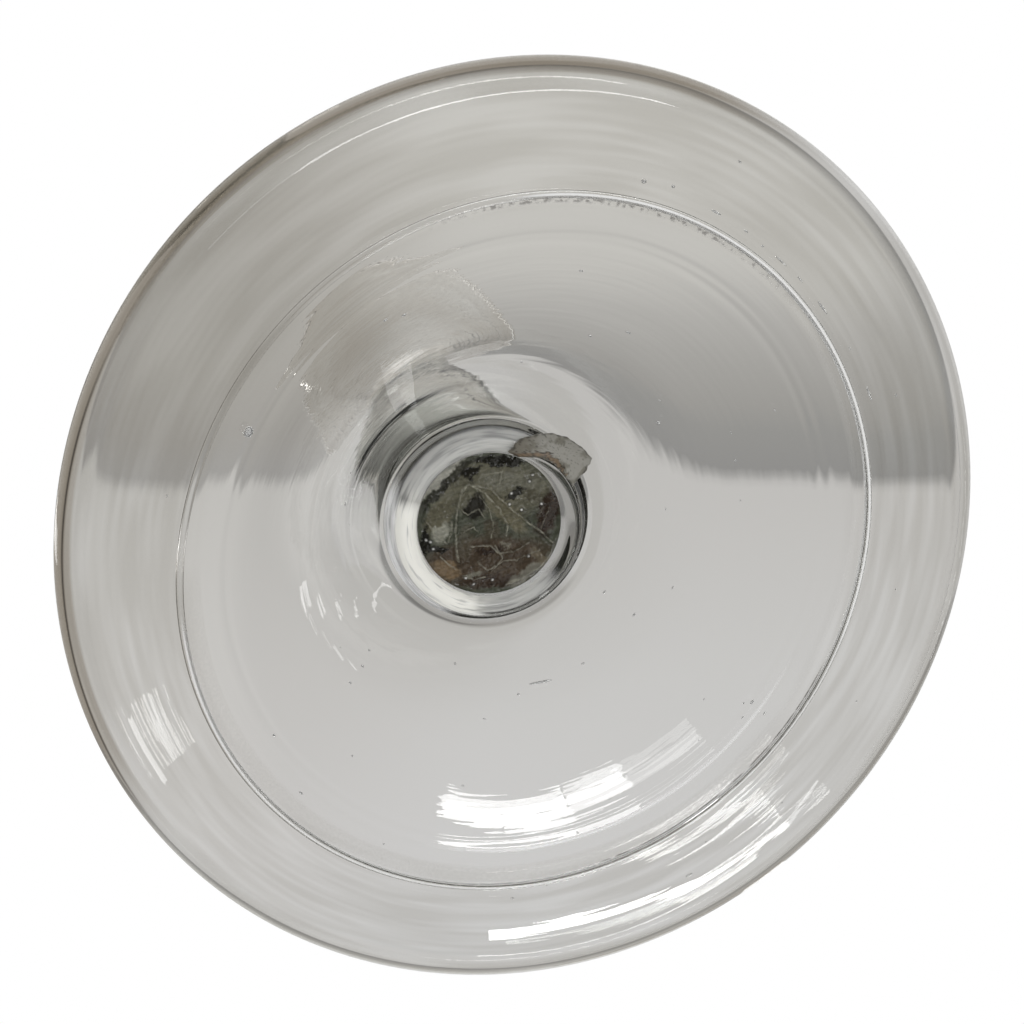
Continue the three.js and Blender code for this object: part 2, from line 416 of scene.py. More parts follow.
def underside(tree, low, high):
    """1 below a height over the table, soft between two heights in millimetres."""
    return rising(tree, height_over_table(tree), low * MM, high * MM, 1.0, 0.0)


def lead_glass(name, look, surface):
    """Soda-lime would be greener: old lead glass is grey, heavy and bright at its edges."""
    def polished(tree):
        return {"Roughness": 0.0, "IOR": look.ior, "Transmission Weight": 1.0, **surface(tree)}
    return new_glass(name, polished, look)


def bowl_surface(tree):
    """Level rings of the tool, and grey-brown bands that the drawn glass carries faintly."""
    rings = drawn_rings(tree, 3.5 * MM, 1.2, 8)
    bands = rising(tree, drawn_rings(tree, 6 * MM, 0.8, 12), 0.4, 0.62)
    return {"Base Color": layered(tree, "#f0eeea", (bands, "#e2ddd6")),
            "Normal": add(tree, "ShaderNodeBump", {"Height": rings, "Distance": 0.2 * MM})}


# Marks on the foot's glass: inner and outer radius and softness in millimetres, then middle,
# half width and softness of their sector in degrees
FOLD_BEIGE = (27.8, 28.95, 0.2, 80, 62, 15)
FOLD_LINE = (28.95, 29.05, 0.04, 22, 22, 8)
FOLD_SPECKS = (28.65, 29.0, 0.12, 260, 21, 14)
# A near-black line of painted shade along the underside of the rim's roll
RIM_SHADE_LINE = (37.05, 37.2, 0.08, 153, 18, 20)
# The brown stain on the rim, partly wear and partly painted shade, and the painted shadow beside
# the mark: the radii over which they set in, their sector as above, and their strength
RIM_WEAR_AND_SHADE = ((36.9 * MM, 37.15 * MM), (198, 62, 25), 0.85)
MARK_SHADOW = ((10.6 * MM, 10.3 * MM), (66, 40, 25), 0.6)
# Radii over which the tool rings and the grey streaks set in
RINGS_START = (10 * MM, 17 * MM)
STREAKS_START = (28 * MM, 30 * MM)

# Pale marks on the foot's underside that are painted reflections of a window: place as above,
# strength, and the heights in millimetres between which they end
PAINTED_REFLECTIONS = [
    ((29.04, 29.2, 0.05, 298, 48, 12), 1.0, (3.0, 3.4)),
    ((29.04, 29.2, 0.05, 60, 80, 10), 0.7, (3.0, 3.4)),
    ((26.5, 26.7, 0.2, 38, 26, 22), 0.8, (4.2, 4.4)),
    ((36.25, 36.35, 0.1, 8, 46, 20), 0.6, (1.5, 1.7)),
]
PAINTED_REFLECTION_COLOUR = (0.95, 0.95, 0.94, 1)

# A low ridge that runs round inside the fold
RIDGE_RADIUS = 26.5 * MM
RIDGE_WIDTH = 0.3 * MM
RIDGE_HEIGHT = 0.025 * MM


def foot_relief(tree):
    """Fine and coarse tool rings, calm near the mark, and the ridge inside the fold."""
    tooled = rising(tree, profile_radius(tree), *RINGS_START, 0.1, 1.0)
    fine = combined(tree, "MULTIPLY", tool_rings(tree, 0.4 * MM, 3, 3), 0.007 * MM, tooled)
    coarse = combined(tree, "MULTIPLY", tool_rings(tree, 2.2 * MM, 2, 4), 0.02 * MM, tooled)
    off_ridge = combined(tree, "SUBTRACT", profile_radius(tree), RIDGE_RADIUS)
    away = combined(tree, "DIVIDE", off_ridge, RIDGE_WIDTH)
    bell = combined(tree, "POWER", math.e, combined(tree, "MULTIPLY", away, away, -1.0))
    ridge = combined(tree, "MULTIPLY", bell, RIDGE_HEIGHT)
    height = combined(tree, "ADD", fine, coarse, ridge)
    return add(tree, "ShaderNodeBump", {"Height": height, "Distance": 1.0})


def fold_dirt(tree):
    """Old dirt in the fold: where it lies, and its colour, pale with a dark line and specks."""
    below = underside(tree, 3.0, 3.4)
    crumbs = add(tree, "ShaderNodeTexNoise", {"Vector": object_place(tree),
                                              "Scale": 1 / (0.45 * MM), "Detail": 3.0})
    beige = combined(tree, "MULTIPLY", patch(tree, *FOLD_BEIGE), below,
                     rising(tree, tool_rings(tree, 0.2 * MM, 110, 21), 0.3, 0.65, 0.24, 0.32))
    line = combined(tree, "MULTIPLY", patch(tree, *FOLD_LINE), below,
                    rising(tree, tool_rings(tree, 0.6 * MM, 25, 22), 0.3, 0.55, 0.35, 0.95))
    specks = combined(tree, "MULTIPLY", patch(tree, *FOLD_SPECKS), below,
                      rising(tree, crumbs, 0.42, 0.62, 0.08, 0.75))
    dark = combined(tree, "MAXIMUM", line, specks)
    return combined(tree, "MAXIMUM", beige, dark), layered(tree, "#b3aea2", (dark, "#4a4239"))


def foot_surface(tree):
    """Tooled while it spun: rings and streaks break up the light, and old dirt draws the fold; the rim's
    stain is wear and painted shade, with a painted shade line, a painted shadow lies by the mark and
    painted window reflections lie underneath.
    """
    radius = profile_radius(tree)
    streak = combined(tree, "MULTIPLY", rising(tree, radius, *STREAKS_START),
                      rising(tree, tool_rings(tree, 0.8 * MM, 3, 11), 0.35, 0.62))
    # The rim's brown is partly wear and partly painted shade; the shadow beside the mark is painted
    rim_wear_and_shade, mark_shadow = [
        combined(tree, "MULTIPLY", rising(tree, radius, *radii), sector(tree, *place), strength)
        for radii, place, strength in (RIM_WEAR_AND_SHADE, MARK_SHADOW)]
    # A painted shade line along the rim's underside
    rim_shade_line = combined(tree, "MULTIPLY", patch(tree, *RIM_SHADE_LINE), underside(tree, 1.1, 1.3))
    dirt, dirt_colour = fold_dirt(tree)
    # Painted reflections of a window on the underside
    painted_reflection = combined(tree, "MAXIMUM", *[
        combined(tree, "MULTIPLY", patch(tree, *place), strength, underside(tree, *heights))
        for place, strength, heights in PAINTED_REFLECTIONS])
    colour = layered(tree, "#ffffff", (streak, "#eeedeb"), (rim_wear_and_shade, "#a59a8a"),
                     (rim_shade_line, "#17110d"), (mark_shadow, "#6f6b63"), (dirt, dirt_colour),
                     (painted_reflection, PAINTED_REFLECTION_COLOUR))
    dirt_and_reflection = combined(tree, "MAXIMUM", dirt, painted_reflection)
    return {"Base Color": colour, "Normal": foot_relief(tree),
            "Roughness": rising(tree, dirt_and_reflection, 0.0, 1.0, 0.0, 0.6),
            "Transmission Weight": rising(tree, dirt_and_reflection, 0.0, 1.0, 1.0, 0.1)}


def arc(centre, radius, from_angle, to_angle, steps):
    """Points of an arc in the profile's plane, with angles in degrees from outward."""
    angles = np.radians(np.linspace(from_angle, to_angle, steps + 1))
    return [(centre[0] + radius * math.cos(a), centre[1] + radius * math.sin(a)) for a in angles]


def stretch(start, end, steps, height):
    """Points of a profile at even radii, the first left out, at a height or a height's formula."""
    return [(r, float(height(r)) if callable(height) else height)
            for r in np.linspace(start, end, steps)[1:]]


def cone_height(radius, start, end, sag):
    """Height of the hanging cone's side at a radius, between two (radius, height) points."""
    share = (np.asarray(radius) - start[0]) / (end[0] - start[0])
    return start[1] + (end[1] - start[1]) * share - 4 * sag * share * (1 - share)


def crevice_mouth(shape):
    """Radius at which the slot between the fold's two layers opens inward."""
    return FOOT_RADIUS - shape.fold_width + shape.fold_layer / 2


def crevice_roof(shape):
    """Height of the slot's upper face, which is the underside of the cone."""
    return shape.fold_rise + shape.fold_layer + shape.crevice_gap


def cone_side(shape, radius):
    """Underside of the cone without the roof: the hanging side, run on inward."""
    return cone_height(radius, (PONTIL_RADIUS, ROOF_HEIGHT),
                       (crevice_mouth(shape), crevice_roof(shape)), shape.cone_sag)


def underside_height(shape, radius):
    """Underside of the foot: flat roof in the middle, rounded over into the hanging side."""
    soft = shape.roof_fillet / 4
    side = cone_side(shape, radius)
    return ROOF_HEIGHT - soft * np.logaddexp(0, (ROOF_HEIGHT - side) / soft)


def thickening(shape, radius):
    """How much the cone grows toward the stem: not at all outside, then at an even rate."""
    span = shape.wedge_start - shape.wedge_full
    share = np.clip((radius - shape.wedge_full) / span, 0, 1)
    eased = span * (0.5 - share + share ** 3 - share ** 4 / 2)
    return eased + np.clip(shape.wedge_full - radius, 0, None)


def upper_height(shape, radius):
    """Upper face of the cone; it meets the stem at the weld."""
    rate = ((WELD_HEIGHT - cone_side(shape, STEM_BASE_RADIUS) - shape.wall)
            / thickening(shape, STEM_BASE_RADIUS))
    return cone_side(shape, radius) + shape.wall + rate * thickening(shape, radius)


# The turned layer's lower face falls to the table a little faster near its inner edge
FOLD_POWER = 1.15


def foot_profile(shape):
    """Closed outline of the foot from the axis below, round the rim, to the axis above."""
    mouth = crevice_mouth(shape)
    slot_end = mouth + shape.crevice_depth
    slot_floor = shape.fold_rise + shape.fold_layer
    slot_roof = crevice_roof(shape)
    slot_middle = (slot_end, slot_floor + shape.crevice_gap / 2)
    bead_middle = (mouth, shape.fold_rise + shape.fold_layer / 2)
    rim_round = shape.rim_thickness / 2
    rim_middle = FOOT_RADIUS - rim_round
    rest = rim_middle - shape.rest_ring
    shoulder = slot_roof + shape.wall
    return [
        (0, ROOF_HEIGHT),
        *stretch(0, PONTIL_RADIUS, 12, ROOF_HEIGHT),
        *stretch(PONTIL_RADIUS, mouth, 90, lambda r: underside_height(shape, r)),
        *stretch(mouth, slot_end, 5, slot_roof),
        *arc(slot_middle, shape.crevice_gap / 2, 90, -90, 6)[1:],
        *stretch(slot_end, mouth, 5, slot_floor),
        *arc(bead_middle, shape.fold_layer / 2, 90, 270, 24)[1:],
        *stretch(mouth, rest, 26,
                 lambda r: shape.fold_rise * ((rest - r) / (rest - mouth)) ** FOLD_POWER),
        *arc((rim_middle, rim_round), rim_round, -90, 90, 40),
        *stretch(rim_middle, mouth, 26, lambda r: shoulder + (shape.rim_thickness - shoulder)
                 * (r - mouth) / (rim_middle - mouth)),
        *stretch(mouth, STEM_BASE_RADIUS, 90, lambda r: upper_height(shape, r)),
        *stretch(STEM_BASE_RADIUS, 0, 14, WELD_HEIGHT),
    ]


# How the hand-made rim and fold depart from circles: mean radius as a share of the CAD's,
# the two parts of their slight oval, and the shift of their centres
RIM_SHAPE = {"mean": 0.9862, "cos": -0.0109, "sin": 0.0028, "shift": (0.38 * MM, -0.1 * MM)}
FOLD_SHAPE = {"mean": 0.9896, "cos": -0.0281, "sin": -0.0062, "shift": (0.117 * MM, 0.401 * MM)}


def departure(oval, radius, angle):
    """How far a circle of this radius is pushed out at each angle, as x and y."""
    swing = 1 + oval["cos"] * np.cos(2 * angle) + oval["sin"] * np.sin(2 * angle)
    push = radius * (oval["mean"] * swing - 1)
    return push * np.cos(angle) + oval["shift"][0], push * np.sin(angle) + oval["shift"][1]


def hand_made(shape, places):
    """Moves the turned foot's vertices: cone under the stem, fold and rim slightly oval."""
    radius = np.hypot(places[:, 0], places[:, 1])
    angle = np.arctan2(places[:, 1], places[:, 0])
    fold_radius = FOOT_RADIUS - shape.fold_width
    to_fold = smooth(radius, PONTIL_RADIUS, fold_radius)
    to_rim = smooth(radius, fold_radius, FOOT_RADIUS)
    fold_x, fold_y = departure(FOLD_SHAPE, fold_radius, angle)
    rim_x, rim_y = departure(RIM_SHAPE, FOOT_RADIUS, angle)
    x = (1 - to_fold) * STEM_BASE.x + to_fold * ((1 - to_rim) * fold_x + to_rim * rim_x)
    y = (1 - to_fold) * STEM_BASE.y + to_fold * ((1 - to_rim) * fold_y + to_rim * rim_y)
    return places + np.column_stack([x, y, np.zeros(len(x))])


class WINE_GLASS_OT_foot(Operator):
    """Turn the foot, fold its rim under, and lean its cone to the stem"""
    bl_idname = "wine_glass.foot"
    bl_label = "Foot with folded rim"

    def execute(self, context):
        shape = context.scene.wine_glass_foot
        glass = lead_glass("foot of tooled lead glass", context.scene.wine_glass_look, foot_surface)
        mesh = turned(foot_profile(shape), shape.segments, glass)
        keep_radius(mesh)
        put_vertices(mesh, hand_made(shape, vertices_of(mesh)))
        weld_faces(mesh, WELD_HEIGHT, STEM_BASE_RADIUS)
        weld_faces(mesh, ROOF_HEIGHT, PONTIL_RADIUS)
        place_piece("foot", mesh, "foot")
        return {"FINISHED"}


# Air bubbles that show in the photograph: place in millimetres, radius, and how far drawn out
NOTED_SEEDS = [
    ((-26.0, 0.2, 4.4), 0.38, 1.2), ((-7.9, -29.7, 2.6), 0.18, 1.2), ((-5.7, -30.5, 2.6), 0.12, 1.3),
    ((-0.3, 14.2, 12.6), 0.12, 1.0), ((5.5, -15.0, 10.0), 0.16, 1.1), ((12.9, -15.1, 7.8), 0.12, 1.0),
    ((7.9, 12.2, 11.2), 0.13, 9.0), ((-1.7, -30.6, 2.6), 0.09, 5.0), ((1.2, -30.6, 2.6), 0.07, 3.0),
    ((3.0, -30.3, 2.5), 0.07, 2.0), ((5.0, -30.1, 2.5), 0.07, 9.0), ((7.2, -29.7, 2.5), 0.06, 6.0),
    ((10.2, -28.8, 2.6), 0.09, 8.0), ((14.2, -27.2, 2.6), 0.07, 2.0), ((17.9, -24.9, 2.6), 0.08, 9.0),
    ((26.0, 20.9, 1.8), 0.12, 3.0), ((24.7, 4.0, 4.4), 0.13, 2.0),
]
SCATTERED_SEEDS = 44


def seed_tree():
    """Geometry Nodes tree that sets a bubble, drawn out round the stem, on each point."""
    tree, given = new_tree("seeds", {"Places": "Geometry", "Material": "Material"})
    ball = add(tree, "GeometryNodeMeshIcoSphere", {"Radius": 1.0, "Subdivisions": 2})
    around = add(tree, "ShaderNodeVectorMath",
                 {0: (0, 0, 1), 1: add(tree, "GeometryNodeInputPosition")},
                 operation="CROSS_PRODUCT")
    turn = add(tree, "FunctionNodeAlignRotationToVector", {"Vector": around}, axis="X")
    size, length = [add(tree, "GeometryNodeInputNamedAttribute", {"Name": name})
                    for name in ("seed_radius", "seed_length")]
    scale = add(tree, "ShaderNodeCombineXYZ", {"X": length, "Y": size, "Z": size})
    set_out = add(tree, "GeometryNodeInstanceOnPoints",
                  {"Points": given["Places"], "Instance": ball, "Rotation": turn, "Scale": scale})
    return end_tree(tree, set_out, given["Material"])


def scattered_seeds(shape):
    """Small bubbles anywhere in the cone's and the rim's glass, as places, radii and lengths."""
    random = np.random.default_rng(11)
    radius = random.uniform(13, 35, SCATTERED_SEEDS) * MM
    angle = random.uniform(0, math.tau, SCATTERED_SEEDS)
    share = random.uniform(0.3, 0.7, SCATTERED_SEEDS)
    mouth = FOOT_RADIUS - shape.fold_width
    shoulder = crevice_roof(shape) + shape.wall
    out = np.clip((radius - mouth) / (FOOT_RADIUS - mouth), 0, 1)
    low = np.where(radius < mouth, cone_side(shape, radius), shape.fold_rise * (1 - out))
    high = np.where(radius < mouth, upper_height(shape, radius),
                    shoulder + (shape.rim_thickness - shoulder) * out)
    places = np.column_stack([radius * np.cos(angle), radius * np.sin(angle),
                              low + (high - low) * share])
    size = random.uniform(0.05, 0.1, SCATTERED_SEEDS) * MM
    return hand_made(shape, places), size, size * random.uniform(1, 3, SCATTERED_SEEDS)


def seed_air(look):
    """Air in glass bends light the other way; the bubble's pale colour is a painted reflection, which
    shows it as a pale, silvery bead.
    """
    def surface(tree):
        # White base colour: a painted reflection in the bubble
        return {"Base Color": (0.95, 0.95, 0.95, 1), "Roughness": 0.1, "IOR": 1 / look.ior,
                "Transmission Weight": 0.4}
    return new_glass("air in lead glass", surface)


class WINE_GLASS_OT_seeds(Operator):
    """Set the air bubbles in the foot's glass"""
    bl_idname = "wine_glass.seeds"
    bl_label = "Air seeds in the foot"

    def execute(self, context):
        places, size, length = scattered_seeds(context.scene.wine_glass_foot)
        noted = np.array([place for place, _, _ in NOTED_SEEDS]) * MM
        noted_size = np.array([radius for _, radius, _ in NOTED_SEEDS]) * MM
        noted_length = noted_size * [drawn for _, _, drawn in NOTED_SEEDS]
        points = bpy.data.meshes.new("seed places")
        points.from_pydata(np.concatenate([places, noted]), [], [])
        for name, values in (("seed_radius", np.concatenate([size, noted_size])),
                             ("seed_length", np.concatenate([length, noted_length]))):
            points.attributes.new(name, "FLOAT", "POINT").data.foreach_set("value", values)
        air = seed_air(context.scene.wine_glass_look)
        mesh = run_tree(seed_tree(), points, {"Material": air})
        place_piece("seeds", mesh, "foot")
        return {"FINISHED"}


# The stem spreads late and quickly, right over the foot
SPREAD_POWER = 3.9


def outer_radius(shape, height):
    """Outer radius of the stem and bowl: it spreads at the foot and opens above."""
    start = WELD_HEIGHT + shape.spread_height + shape.straight
    lip = BOWL_HIGH.z - shape.rim_wall / 2
    spread = max(0, 1 - (height - WELD_HEIGHT) / shape.spread_height)
    opening = max(0, (height - start) / (lip - start))
    at_foot = (shape.base_radius - shape.stem_radius) * spread ** SPREAD_POWER
    at_bowl = (BOWL_RIM_RADIUS - shape.stem_radius) * opening ** shape.trumpet_power
    return shape.stem_radius + at_foot + at_bowl


def inner_radius(shape, height):
    """Inner radius of the bowl: a wall that thins upward, and a rounded tip at the bottom."""
    floor = BOWL_HIGH.z - shape.depth
    climb = min(1, (height - floor) / shape.depth)
    wall = shape.base_wall + (shape.rim_wall - shape.base_wall) * climb
    tip = min(1, (height - floor) / shape.tip_length)
    return (outer_radius(shape, height) - wall) * math.sqrt(tip * (2 - tip))


def bowl_profile(shape):
    """Closed outline of stem and bowl, from the axis at the weld to the axis inside.

    Its points lie closer where the stem spreads and where the inside rounds to its tip.
    """
    lip_height = BOWL_HIGH.z - shape.rim_wall / 2
    floor = BOWL_HIGH.z - shape.depth
    base = WELD_HEIGHT + WELD_GAP
    weld = [(0, base), *stretch(0, shape.base_radius, 14, base)]
    rise = base + (lip_height - base) * np.linspace(0, 1, 150) ** 1.3
    outside = [(outer_radius(shape, z), z) for z in rise[1:]]
    lip = arc((BOWL_RIM_RADIUS - shape.rim_wall / 2, lip_height), shape.rim_wall / 2, 0, 180, 16)
    drop = floor + (lip_height - floor) * np.linspace(0, 1, 110) ** 2
    inside = [(inner_radius(shape, z), z) for z in drop]
    return weld + outside + lip[1:-1] + inside[::-1]


def leaned(places):
    """Stands the turned stem and bowl on the foot's middle, with its slight lean."""
    climb = (places[:, 2] - WELD_HEIGHT) / (BOWL_HIGH.z - WELD_HEIGHT)
    drift = BOWL_RIM_CENTRE - STEM_BASE
    return places + np.column_stack([STEM_BASE.x + drift.x * climb,
                                     STEM_BASE.y + drift.y * climb, 0 * climb])


class WINE_GLASS_OT_bowl_and_stem(Operator):
    """Turn the trumpet bowl with the stem that is drawn out of it"""
    bl_idname = "wine_glass.bowl_and_stem"
    bl_label = "Bowl and stem"

    def execute(self, context):
        shape = context.scene.wine_glass_bowl
        glass = lead_glass("bowl of drawn lead glass", context.scene.wine_glass_look, bowl_surface)
        mesh = turned(bowl_profile(shape), shape.segments, glass)
        put_vertices(mesh, leaned(vertices_of(mesh)))
        weld_faces(mesh, WELD_HEIGHT, shape.base_radius)
        place_piece("bowl_and_stem", mesh, "bowl_and_stem")
        return {"FINISHED"}


# The break is laid out in millimetres on the mark's face, from its middle: u runs to the
# picture's right and v down it
ACROSS_MARK = np.array([(0.869, 0.404), (-0.453, 0.882)])
# How far the break may rise into the mark and hang out of it, in millimetres, and the width
# over which it calms down to meet the lip
RELIEF_LIMITS = (-0.8, 0.9)
CALM_EDGE = 0.5 * MM

# Where the glass of the break changes colour: middle, half sizes, turn in degrees, colour, strength;
# its dark greens, browns and near-blacks are partly dirt and partly painted shade
BREAK_COLOURS = [
    ((0, -3.6), (6.5, 2.8), 5, "#626051", 0.95), ((0, 3.7), (7.0, 2.7), 0, "#453a2e", 0.95),
    ((-4.1, 4.3), (1.5, 0.9), 25, "#76644c", 0.85), ((0.5, 5.7), (3.4, 0.7), 0, "#32261d", 0.85),
    ((5.6, -0.9), (1.2, 2.7), 12, "#2b1f17", 0.95), ((2.0, -4.2), (3.2, 1.0), 8, "#67665a", 0.8),
    ((-5.0, -1.0), (1.2, 2.0), 35, "#5f5c4c", 0.95), ((-4.7, 0.5), (0.9, 1.1), 35, "#8f8f82", 0.95),
    ((-5.3, -3.2), (0.5, 2.0), 42, "#1d1e15", 0.95), ((1.5, -1.2), (3.1, 1.0), 45, "#65614f", 0.9),
    ((-1.6, -1.9), (1.0, 1.3), 20, "#14110b", 0.95), ((-2.2, -5.3), (1.1, 0.4), -15, "#100f09", 0.95),
    ((0.6, -6.2), (2.6, 0.45), 5, "#100f09", 0.95), ((2.3, -3.0), (1.1, 0.35), -25, "#12120b", 0.95),
    ((-6.2, 1.3), (0.4, 1.3), 0, "#100f0a", 0.95), ((-5.0, 2.1), (1.2, 0.35), 12, "#100f0a", 0.95),
    ((0.0, 2.6), (1.3, 0.4), 0, "#251a13", 0.9), ((4.2, 4.9), (2.7, 0.6), -38, "#77756a", 0.9),
    ((4.9, 3.4), (1.3, 0.5), 42, "#6b6353", 0.8), ((-2.4, 1.6), (0.9, 1.9), 0, "#4f4a3d", 0.6),
    ((0.2, 0.4), (1.0, 0.9), 0, "#4a4336", 0.7), ((1.5, 2.2), (0.6, 0.3), 40, "#716d60", 0.8),
    ((-1.7, 4.9), (0.9, 0.4), -15, "#6b6a5e", 0.8), ((4.0, -2.6), (1.2, 0.7), 30, "#4d4a3d", 0.8),
    ((-4.3, -4.3), (3.6, 0.5), -45, "#2a2a23", 0.85),
    ((-4.9, -4.9), (4.2, 0.5), -45, "#9d9c92", 0.95),
]

# Thin ridges of the break: points, width and height, and the strength of the painted highlight
# along the crest
BREAK_RIDGES = [
    (((-2.2, -4.1), (-0.7, -3.2), (0.8, -1.6), (1.6, 0.1), (1.5, 1.1)), 0.13, 0.35, 0.75),
    (((-2.4, -4.2), (-0.2, -3.6), (2.0, -1.4), (4.0, 0.1), (6.2, 2.1)), 0.12, 0.45, 0.7),
    (((-2.4, -4.2), (-3.0, -3.0), (-3.3, -1.6), (-3.4, 0.0), (-3.2, 2.1), (-2.9, 3.6)),
     0.14, 0.4, 0.8),
    (((-1.3, -3.0), (-0.2, -1.6), (0.3, -0.1), (0.1, 1.3)), 0.1, 0.2, 0.5),
    (((-6.4, -1.0), (-5.3, 0.6), (-4.1, 1.6), (-3.7, 0.6), (-3.8, -0.6)), 0.12, 0.3, 0.6),
    (((-4.7, 2.9), (-3.9, 3.8), (-3.2, 4.3)), 0.09, 0.2, 0.9),
    (((-1.7, 2.1), (0.0, 2.0), (0.8, 2.8), (2.3, 2.9), (3.8, 2.0)), 0.11, 0.3, 0.7),
    (((-1.2, 3.5), (-0.2, 4.5), (1.5, 3.6), (2.8, 3.8), (5.0, 2.8)), 0.1, 0.25, 0.6),
    (((1.8, 6.1), (3.5, 5.5), (5.2, 4.3), (6.2, 3.1)), 0.2, 0.4, 0.6),
    (((0.5, 2.1), (1.3, 3.3), (0.3, 4.6)), 0.12, 0.25, 0.6),
    (((-1.2, -5.0), (0.8, -5.2), (0.7, -4.1)), 0.12, 0.25, 0.45),
    (((-2.9, -1.8), (-2.2, -1.1), (-1.2, -1.6), (-0.6, -0.6)), 0.1, 0.25, 0.6),
    (((-2.6, 0.6), (-1.6, 0.2), (-0.9, 1.0)), 0.09, 0.2, 0.5),
    (((-2.4, 4.9), (-1.4, 5.4), (-0.4, 5.2)), 0.1, 0.2, 0.6),
    (((5.2, -1.6), (4.3, 0.2)), 0.07, 0.12, 0.35), (((5.7, -1.4), (5.0, 0.8)), 0.07, 0.12, 0.35),
]

# Small bubbles that the break laid open, each a bump with a painted glint in a painted dark ring
BREAK_BUBBLES_AND_GLINTS = [(3.87, -4.7), (3.6, -4.1), (1.9, -3.0), (2.9, -1.4), (4.9, -1.8), (1.75, -1.95),
                 (-6.1, 1.2), (-5.7, 1.35), (-5.4, 2.1), (-2.2, 5.2), (0.45, 5.6), (6.2, 4.1),
                 (-4.9, 5.1), (-1.4, 5.9), (3.9, 3.4)]

SPLINTER_OUTLINE = [(1.1, -7.3), (2.2, -8.5), (3.6, -8.85), (5.0, -8.9), (6.6, -8.5), (8.1, -7.5),
                    (9.2, -6.4), (8.7, -5.2), (7.5, -3.8), (6.9, -4.4), (6.3, -5.1), (5.5, -6.0),
                    (4.2, -6.6), (1.9, -6.8)]
SPLINTER_STAIN = ((1.6, -6.9), (3.2, -7.1), (4.8, -6.9), (5.9, -6.0), (6.5, -5.0))
SPLINTER_MIDDLE = (5.9, -6.9)
SPLINTER_STEPS = 160
SPLINTER_RINGS = 22


def on_mark(u, v):
    """Glass x and y, in metres, of a place on the mark's face in millimetres."""
    x, y = ACROSS_MARK @ np.array([u, v]) * MM
    return x + STEM_BASE.x, y + STEM_BASE.y


def across_mark(x, y):
    """The other way: millimetres on the mark's face, from glass x and y."""
    return np.linalg.solve(ACROSS_MARK, np.array([x - STEM_BASE.x, y - STEM_BASE.y]) / MM)


def line_distance(u, v, points):
    """Distance from places to a line through points."""
    nearest = np.full(np.shape(u), np.inf)
    for (u0, v0), (u1, v1) in zip(points, points[1:]):
        length = (u1 - u0) ** 2 + (v1 - v0) ** 2
        share = np.clip(((u - u0) * (u1 - u0) + (v - v0) * (v1 - v0)) / length, 0, 1)
        gap = np.hypot(u - u0 - share * (u1 - u0), v - v0 - share * (v1 - v0))
        nearest = np.minimum(nearest, gap)
    return nearest


def rough(u, v, size, seed):
    """Uneven noise from about -1 to 1, with lumps of a size in millimetres."""
    return np.array([noise.fractal((a / size, b / size, seed), 0.6, 2.1, 4)
                     for a, b in zip(u, v)])


def wobbled(u, v, reach, size):
    """Places pushed unevenly aside by up to a reach, so that what is drawn on them looks torn."""
    return u + reach * rough(u, v, size, 1.5), v + reach * rough(u, v, size, 9.5)


def broken_relief(u, v):
    """How far the broken face stands out toward the table, in millimetres."""
    lumps = 0.22 * rough(u, v, 1.6, 3.3)
    chips = 0.07 * np.abs(rough(u, v, 0.45, 7.1))
    swell = -0.25 * np.cos(0.9 * u + 0.4) * np.cos(0.8 * v)
    relief = lumps + chips + swell
    bent_u, bent_v = wobbled(u, v, 0.12, 0.7)
    for points, width, height, _ in BREAK_RIDGES:
        away = line_distance(bent_u, bent_v, points)
        relief += height * (0.6 * np.exp(-(away / width) ** 2) + 0.4 * np.exp(-away / 0.5))
    for bubble_u, bubble_v in BREAK_BUBBLES_AND_GLINTS:
        relief += 0.12 * np.exp(-(np.hypot(u - bubble_u, v - bubble_v) / 0.12) ** 2)
    return relief


def blend_colour(colour, other, share):
    """Colours turned toward one sRGB hex colour, each by its own share."""
    return colour + (np.array(linear(other)[:3]) - colour) * np.clip(share, 0, 1)[:, None]


def broken_colour(u, v):
    """Bottle-dark glass, its darkness partly painted shade, with brown dirt below, grey-green flakes
    above, pale crests that are painted highlights, and bubbles with painted glints.
    """
    colour = np.tile(linear("#43463a")[:3], (len(u), 1))
    wobbled_u, wobbled_v = wobbled(u, v, 0.35, 0.9)
    for (middle_u, middle_v), (half_u, half_v), turn, other, strength in BREAK_COLOURS:
        cos, sin = math.cos(math.radians(turn)), math.sin(math.radians(turn))
        off_u, off_v = wobbled_u - middle_u, wobbled_v - middle_v
        away = np.hypot((off_u * cos + off_v * sin) / half_u, (off_v * cos - off_u * sin) / half_v)
        colour = blend_colour(colour, other, strength * (1 - smooth(away, 0.7, 1.15)))
    fade = 0.55 + 0.6 * rough(u, v, 0.8, 6.1)
    bent_u, bent_v = 0.3 * wobbled_u + 0.7 * u, 0.3 * wobbled_v + 0.7 * v
    # Pale crests: painted highlights along the ridges
    for points, width, _, pale in BREAK_RIDGES:
        crest_highlight = np.exp(-(line_distance(bent_u, bent_v, points) / (0.6 * width)) ** 2)
        colour = blend_colour(colour, "#aaa899", 1.2 * pale * crest_highlight * fade)
    # Each bubble: a painted dark ring and a painted glint
    for bubble_u, bubble_v in BREAK_BUBBLES_AND_GLINTS:
        gap = np.hypot(u - bubble_u, v - bubble_v)
        colour = blend_colour(colour, "#0f0f0c", 0.7 * np.exp(-((gap - 0.17) / 0.05) ** 2))
        colour = blend_colour(colour, "#f4f4f0", np.exp(-(gap / 0.09) ** 2))
    streaks = rough(0.3 * u + v, 0.2 * v, 0.25, 4.4)
    return colour * (1 + 0.2 * rough(u, v, 0.3, 4.4) + 0.25 * streaks)[:, None]


